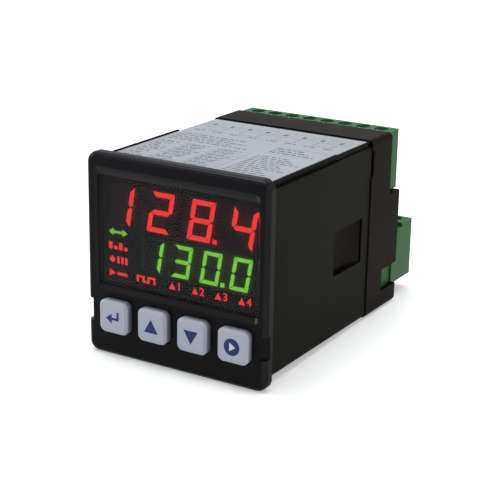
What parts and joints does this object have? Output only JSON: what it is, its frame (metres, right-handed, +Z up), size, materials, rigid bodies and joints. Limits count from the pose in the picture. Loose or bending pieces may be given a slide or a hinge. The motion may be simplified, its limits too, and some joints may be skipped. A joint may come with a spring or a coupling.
{
  "type": "panel temperature controller",
  "caption": "Square panel-mount temperature controller with smoked display window, rubber keys, box housing and green plug-in screw terminals at the rear.",
  "frame": {"origin": "centre of the bezel's rear face, in the plane where it meets the panel", "axes": "+X to the right as the operator sees the front, +Y from the front into the panel, +Z up"},
  "size_m": [0.048, 0.081, 0.048],
  "materials": {
    "bezel_black": "satin",
    "gasket_rubber": "matte",
    "smoked_lens": "polished",
    "key_silicone": "matte",
    "contact_gold": "satin",
    "board_green": "satin",
    "display_black": "matte",
    "guide_red": "satin",
    "guide_green": "satin",
    "housing_black": "satin",
    "label_silver": "satin",
    "terminal_green": "satin",
    "screw_steel": "satin",
    "pin_tin": "satin",
    "chip_black": "matte",
    "core_steel": "matte",
    "coil_tape": "satin",
    "can_blue": "satin",
    "relay_blue": "satin"
  },
  "bodies": {
    "controller": {"front_bezel": "bezel_black", "panel_gasket": "gasket_rubber", "display_window": "smoked_lens", "keypad_mat": "key_silicone", "key_contacts": "contact_gold", "display_board": "board_green", "red_display_block": "display_black", "red_digit_bars": "guide_red", "green_display_block": "display_black", "green_digit_bars": "guide_green", "status_light_block": "display_black", "status_lights": "guide_red", "display_driver": "chip_black", "housing_sleeve": "housing_black", "top_label": "label_silver", "rear_cover": "housing_black", "power_board": "board_green", "signal_board": "board_green", "link_sockets": "chip_black", "link_pins": "pin_tin", "upper_header": "terminal_green", "upper_header_pins": "pin_tin", "lower_header": "terminal_green", "lower_header_pins": "pin_tin", "transformer_core": "core_steel", "transformer_coil": "coil_tape", "smoothing_capacitors": "can_blue", "output_relays": "relay_blue", "processor_chip": "chip_black", "measuring_chips": "chip_black", "quartz_can": "pin_tin"},
    "key_enter": {"key_enter": "key_silicone"},
    "key_up": {"key_up": "key_silicone"},
    "key_down": {"key_down": "key_silicone"},
    "key_run": {"key_run": "key_silicone"},
    "upper_plug": {"upper_plug": "terminal_green", "upper_plug_screws": "screw_steel", "upper_plug_clamps": "pin_tin"},
    "lower_plug": {"lower_plug": "terminal_green", "lower_plug_screws": "screw_steel", "lower_plug_clamps": "pin_tin"}
  },
  "joints": [
    {"name": "enter_press", "type": "slide", "parent": "controller", "child": "key_enter", "axis": [0, 1, 0], "range_m": [0, 0.00085], "stiffness_N_per_m": 800, "springref_m": -0.0005},
    {"name": "up_press", "type": "slide", "parent": "controller", "child": "key_up", "axis": [0, 1, 0], "range_m": [0, 0.00085], "stiffness_N_per_m": 800, "springref_m": -0.0005},
    {"name": "down_press", "type": "slide", "parent": "controller", "child": "key_down", "axis": [0, 1, 0], "range_m": [0, 0.00085], "stiffness_N_per_m": 800, "springref_m": -0.0005},
    {"name": "run_press", "type": "slide", "parent": "controller", "child": "key_run", "axis": [0, 1, 0], "range_m": [0, 0.00085], "stiffness_N_per_m": 800, "springref_m": -0.0005},
    {"name": "upper_plug_pull", "type": "slide", "parent": "controller", "child": "upper_plug", "axis": [0, 1, 0], "range_m": [0, 0.012]},
    {"name": "lower_plug_pull", "type": "slide", "parent": "controller", "child": "lower_plug", "axis": [0, 1, 0], "range_m": [0, 0.012]}
  ]
}
